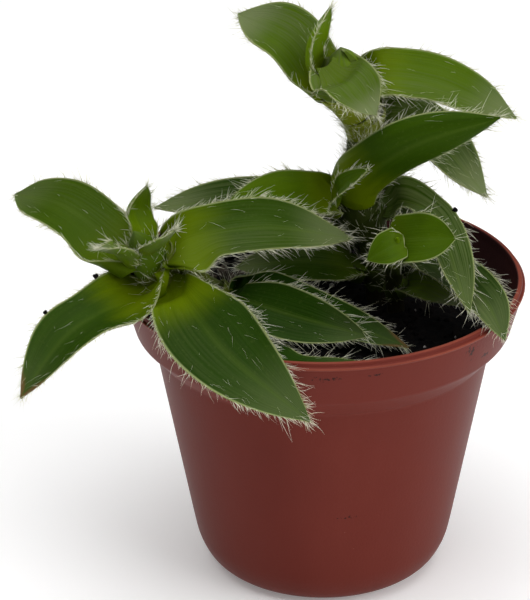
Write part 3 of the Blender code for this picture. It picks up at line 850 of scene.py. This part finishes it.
def sheath_skin(blade, t, a):
    """A sheath's outer points and normals: t runs from foot to rim, a is the angle from the leaf."""
    size = min(1.15, max(0.45, blade.width / 8))
    toward = (1 + np.cos(a)) / 2
    side = np.cross(blade.up_stem, blade.outward)
    out = np.cos(a)[..., None] * blade.outward + np.sin(a)[..., None] * side
    high = size * (-0.4 + 1.5 * toward ** 2)
    rise = -SHEATH_DROP * size + (high + SHEATH_DROP * size) * t
    flare = size * (0.22 + 1.25 * toward ** 4) * smooth(t) + 0.12
    return blade.axis + blade.up_stem * rise[..., None] + out * (blade.radius + flare)[..., None], out


for name, blade in blades.items():
    t, a = grid(np.linspace(0, 1, SHEATH_ROWS + 1), round_turns(SHEATH_SIDES))
    outer, out = sheath_skin(blade, t, a)
    points = np.concatenate((outer, outer - out * SHEATH_THICKNESS))
    faces = two_skins(SHEATH_ROWS, SHEATH_SIDES, closed=True)
    piece = new_piece(name + "_sheath", points, faces, sheath, sharp=60)
    shade = CROWDED_SHADE if blade.stem == "left_stem" else LOW_SHADE if blade.height < SHADED_BELOW else 0
    around = np.abs(np.where(a > math.pi, a - 2 * math.pi, a))
    mark(piece.data, leaf_shade=[shade], leaf_place=places(t, around, blade.number))

# The throats.
# In front of each clasping blade's foot the base thickens into a smooth web that fills the corner between
# the blade and its stem. It is the inside of the sheath, and it grows as one with the leaf.
THROAT_ROWS = 8
THROAT_COLUMNS = 16
THROAT_THICKNESS = 0.2
THROAT_REACH = 3.4
THROAT_SAG = 0.22
THROAT_EDGE = 0.96
THROAT_CLIMB = {"left_leaf_front": 0.75, "top_leaf_front": 1}
USUAL_CLIMB = 0.12
UNAGED = (0, 1, 0)

for name, blade in blades.items():
    if blade.lapping:
        continue
    reach = THROAT_REACH * min(1, blade.width / 8)
    v = np.linspace(-THROAT_EDGE, THROAT_EDGE, THROAT_COLUMNS + 1)
    far, _ = blade.skin(np.full(len(v), reach / blade.length), v)
    offset = far - blade.axis
    up = offset @ blade.up_stem
    outward = offset - blade.up_stem * up[:, None]
    climb = THROAT_CLIMB.get(name, USUAL_CLIMB) * reach + 0.35 * np.maximum(up, 0)
    near = blade.axis + unit(outward) * blade.radius * 0.95 + blade.up_stem * climb[:, None]
    share = np.linspace(0, 1, THROAT_ROWS + 1)
    sheet = near + (far - near) * share[:, None, None]
    sheet = sheet - blade.up_stem * (THROAT_SAG * reach * np.sin(math.pi * share[:, None, None]))
    sheet = sheet.reshape(-1, 3)
    points = np.concatenate((sheet, sheet - blade.up_stem * THROAT_THICKNESS))
    piece = new_piece(name + "_throat", points, two_skins(THROAT_ROWS, THROAT_COLUMNS), leaf, sharp=60)
    s, v = grid(share * reach / blade.length, v * 0.9)
    mark(piece.data, leaf_place=places(s, v, blade.number), leaf_tone=[blade.tone[:3]], leaf_ageing=[UNAGED])

# The buds.
# Each stem ends in its youngest leaf, still rolled up into a small pointed spindle. It is soft and bright
# green, and it pushes up between the feet of the leaves round it.
BUDS = {
    # centre line with radius, then light (young brightness, with painted light that lifts a bud lying in
    # shade), sheen (share of the painted grey-green sheen), yellow
    "left_bud": ([(-20.5, -7.3, 46.2, 2.6), (-22.5, -8, 47.8, 2.7), (-23.4, -8.8, 50.2, 2.5),
        (-24.2, -9.4, 52.2, 1.5), (-24.8, -10, 53.8, 0.12)], (0.5, 0.3, 0.4)),
    "top_bud": ([(3, 4.5, 67.5, 2.7), (2.9, 4.3, 70, 3), (2.8, 4.1, 71.9, 2.6), (2.6, 4, 73.3, 1.6),
        (2.4, 4, 74.3, 0.12)], (1, 0.8, 0.3)),
    "side_bud": ([(9.5, -4.6, 47.3, 1.4), (9.5, -7.4, 49.5, 1.35), (9.7, -10.1, 51.9, 0.9),
        (9.8, -11.6, 53.6, 0.1)], (0.9, 0, 0.4)),
}
BUD_SIDES = 36
SEAM_STEP = 0.14
SEAM_AT = 2.2
SEAM_TWIST = 0.05


def rolled(turns, ring):
    """The outline of a rolled leaf, with a step at its seam that winds up the bud."""
    return 1 - SEAM_STEP * ((turns + SEAM_AT + SEAM_TWIST * ring) % (2 * math.pi)) / (2 * math.pi)


for number, (name, (line, tone)) in enumerate(BUDS.items()):
    path = spline(line, 14)
    piece = new_piece(name, *tube(path, BUD_SIDES, rolled), leaf)
    s, v = grid(np.linspace(0.2, 0.8, len(path)), 0.9 * np.cos(round_turns(BUD_SIDES)))
    mark(piece.data, leaf_place=places(s, v, 40 + number), leaf_tone=[tone], leaf_ageing=[UNAGED])

# The caught crumbs.
# Three crumbs of potting soil that the hairs of the leaf margins have caught. They are the same dark peat
# as the soil, and they sit against the margins.
CAUGHT = [
    # leaf, share along it, share across it, size
    ("left_leaf_outer", 0.23, -1.05, 0.65), ("left_leaf_outer", 0.55, -1.04, 0.55),
    ("mid_leaf_drooping", 0.36, 1.02, 0.8),
]
builder = bmesh.new()
for name, s, v, size in CAUGHT:
    middle = Vector(blades[name].skin(np.array([s]), np.array([v]))[0][0])
    for vertex in bmesh.ops.create_icosphere(builder, subdivisions=2, radius=size / 2)["verts"]:
        vertex.co = middle + vertex.co * (1 + 0.6 * noise.noise(vertex.co * (1.8 / size) + middle))
caught = built("caught_crumbs", builder, peat)

# The hairs.
# Fine soft white hairs: a swept fringe along every margin with short ones lying in it, a tuft at each tip,
# a few thin ones on the blades, and a looser coat on the sheaths and stems. Each is a tapered thread.
HAIR_RADIUS = 0.036
HAIR_RINGS = (0, 0.4, 0.75, 1)
HAIR_CORNERS = (0, 2.094, 4.189)
HAIR_TAPER = 0.85
ROOM = 0.014
STOUT = 1
THIN = 0.42

hair = Finish("plant_hair", Roughness=0.6, Specular_IOR_Level=0.3, Subsurface_Weight=0.2,
              Subsurface_Scale=0.0004, Subsurface_Radius=(1, 1, 0.6))
cloud = hair.noise(hair.where(), 700, 2)
colour = hair.mixed(cloud, (0.62, 0.62, 0.4), (0.9, 0.89, 0.74))
hair.paint(hair.mixed(hair.band(hair.stored("hair_place", "Fac"), 0.4, 0), colour, (0.32, 0.36, 0.13)))

# hairs stop a little way past the solids' box
spare = ROOM * np.array(cad_high - cad_low) / MM
low_limit, high_limit = np.array(cad_low) / MM - spare, np.array(cad_high) / MM + spare


def hairs(name, coats, draw):
    """One piece of tapered threads. A coat is roots, the ways they start, lengths, bends and stoutness."""
    roots, ways, lengths, bends = (np.concatenate([coat[k] for coat in coats]) for k in range(4))
    stout = np.concatenate([np.full(len(coat[0]), coat[4]) for coat in coats])
    t = np.array(HAIR_RINGS)
    n = len(roots)
    reach = lengths[:, None, None] * (ways[:, None] * t[:, None] + bends[:, None] * t[:, None] ** 2)
    path = roots[:, None] + reach
    over = np.maximum((path - high_limit) / np.maximum(reach, 1e-6),
                      (path - low_limit) / np.minimum(reach, -1e-6))
    reach *= np.clip(1 - over.max(axis=(1, 2)), 0.12, 1)[:, None, None]
    path = roots[:, None] + reach
    core = unit(np.gradient(path, axis=1))
    side = unit(np.cross(core, unit(draw.normal(size=(n, 1, 3)))))
    other = np.cross(core, side)
    r = HAIR_RADIUS * (stout[:, None] * (1 - HAIR_TAPER * t))[..., None]
    r = r * (0.75 + 0.5 * draw.random((n, 1, 1)))
    points = np.stack([path + r * (math.cos(a) * side + math.sin(a) * other) for a in HAIR_CORNERS], axis=2)
    first = np.arange(n)[:, None] * len(t) * 3
    top = (len(t) - 1) * 3
    quads = []
    for i in range(0, top, 3):
        for p, q in ((i, i + 1), (i + 1, i + 2), (i + 2, i)):
            quads.append(first + np.array((p, q, q + 3, p + 3)))
    caps = [first + np.array((2, 1, 0)), first + np.array((top, top + 1, top + 2))]
    faces = [*np.concatenate(quads).tolist(), *np.concatenate(caps).tolist()]
    mesh = bpy.data.meshes.new(name)
    mesh.from_pydata((points.reshape(-1, 3) * MM).tolist(), [], faces)
    mesh.shade_smooth()
    mark(mesh, hair_place=np.repeat(t, len(HAIR_CORNERS)))
    return show(name, mesh, hair)


def fringe(blade, edge, draw):
    """The long hairs along one margin, in loose clumps, and the short ones that lie in among them."""
    n = int(blade.length * 2.8 * (0.3 + 0.7 * blade.woolly))
    clumps = draw.random(max(4, n // 4))
    s = clumps[draw.integers(0, len(clumps), n)] + draw.normal(size=n) * 0.009
    s = np.clip(np.where(draw.random(n) < 0.5, s, draw.random(n)), 0.03, 0.995)
    sway = np.sin(6.28 * (2.3 * s + draw.random())) + 0.7 * np.sin(6.28 * (5.1 * s + draw.random()))
    sweep = 0.55 + 0.45 * s + 0.25 * sway + draw.normal(size=n) * 0.22
    point, normal = blade.skin(s, np.full(n, edge * 0.985))
    ahead, across = blade.ways(s)
    way = across * (edge * np.cos(sweep))[:, None] + ahead * np.sin(sweep)[:, None]
    way = unit(way + normal * (0.2 + 0.4 * draw.normal(size=(n, 1))))
    length = blade.small * (0.8 + 1.5 * draw.random(n) ** 1.2) * (0.85 + 0.4 * s)
    bend = ahead * 0.25 + draw.normal(size=(n, 3)) * 0.2
    yield point - normal * 0.08, way, length, bend, STOUT
    n = int(blade.length * 5 * (0.35 + 0.65 * blade.woolly))
    s = 0.03 + 0.965 * draw.random(n)
    point, normal = blade.skin(s, np.full(n, edge * 0.97))
    ahead, across = blade.ways(s)
    way = unit(across * edge * 0.55 + ahead + draw.normal(size=(n, 3)) * 0.3 + normal * 0.15)
    yield point - normal * 0.06, way, blade.small * (0.4 + 0.7 * draw.random(n)), ahead * 0.2, 0.9


def scattered(blade, under, draw):
    """The few thin hairs that lie on a blade, more near its margins and tip."""
    n = int(blade.length * blade.width * (0.12 if under else 0.13) * blade.coat)
    s = 0.08 + 0.9 * draw.random(n) ** 0.75
    v = np.sign(draw.random(n) - 0.5) * (1 - 0.8 * draw.random(n) ** 1.5) * 0.96
    point, normal = blade.skin(s, v, under)
    ahead, across = blade.ways(s)
    way = ahead + across * (draw.normal(size=(n, 1)) * 0.3)
    way = unit(way + normal * (0.2 + 0.25 * draw.random((n, 1))))
    bend = -normal * 0.22 + draw.normal(size=(n, 3)) * 0.18
    return point - normal * 0.05, way, blade.small * (1 + 1.6 * draw.random(n)), bend, THIN


def tuft(blade, draw):
    """The hairs that run on past a blade's tip."""
    n = int(22 * blade.woolly * blade.small)
    s = 1 - 0.05 * draw.random(n)
    point, normal = blade.skin(s, draw.random(n) * 2 - 1)
    way = unit(blade.at(blade.ahead, s) + draw.normal(size=(n, 3)) * 0.35)
    length = blade.small * (0.8 + 1.8 * draw.random(n))
    return point - normal * 0.05, way, length, draw.normal(size=(n, 3)) * 0.15, STOUT


def sheath_coat(blade, draw):
    """The looser coat of a sheath, thicker towards its rim."""
    n = int(50 * blade.width / 8 * (0.3 + 0.7 * blade.woolly))
    t, a = 1 - draw.random(n) ** 1.6, draw.random(n) * 2 * math.pi
    point, out = sheath_skin(blade, t, a)
    way = unit(out * 0.6 + blade.up_stem * (0.25 + 0.7 * t[:, None]) + draw.normal(size=(n, 3)) * 0.3)
    length = blade.small * (0.9 + 1.5 * draw.random(n))
    return point - out * 0.05, way, length, blade.up_stem * 0.3 + draw.normal(size=(n, 3)) * 0.2, 0.8


for name, blade in blades.items():
    draw = np.random.default_rng(1000 + blade.number)
    coats = [*fringe(blade, -1, draw), *fringe(blade, 1, draw), scattered(blade, False, draw),
             scattered(blade, True, draw), tuft(blade, draw), sheath_coat(blade, draw)]
    hairs(name + "_hairs", coats, draw)

HAIRY_STEMS = {
    # number of hairs, and the heights they grow between
    "main_stem": (480, 56.5, 64.6), "left_stem": (110, 38, 46), "side_stem": (40, 38, 46.5),
}
for number, (name, path) in enumerate(stem_axes.items()):
    draw = np.random.default_rng(2000 + number)
    n, lowest, highest = HAIRY_STEMS[name]
    shown = path[(path[:, 2] > lowest) & (path[:, 2] < highest)]
    spots = np.sort(draw.random(n)) * (len(shown) - 1)
    low = np.minimum(spots.astype(int), len(shown) - 2)
    centre = shown[low] + (shown[low + 1] - shown[low]) * (spots - low)[:, None]
    up = unit((shown[low + 1] - shown[low])[:, :3])
    any_way = unit(draw.normal(size=(n, 3)))
    out = unit(any_way - up * np.sum(any_way * up, axis=1, keepdims=True))
    roots = centre[:, :3] + out * centre[:, 3:] * 0.98
    way = unit(out + up * 0.45 + draw.normal(size=(n, 3)) * 0.3)
    bend = up * 0.3 + draw.normal(size=(n, 3)) * 0.25
    hairs(name + "_hairs", [(roots, way, 0.8 + 1.6 * draw.random(n), bend, 0.8)], draw)
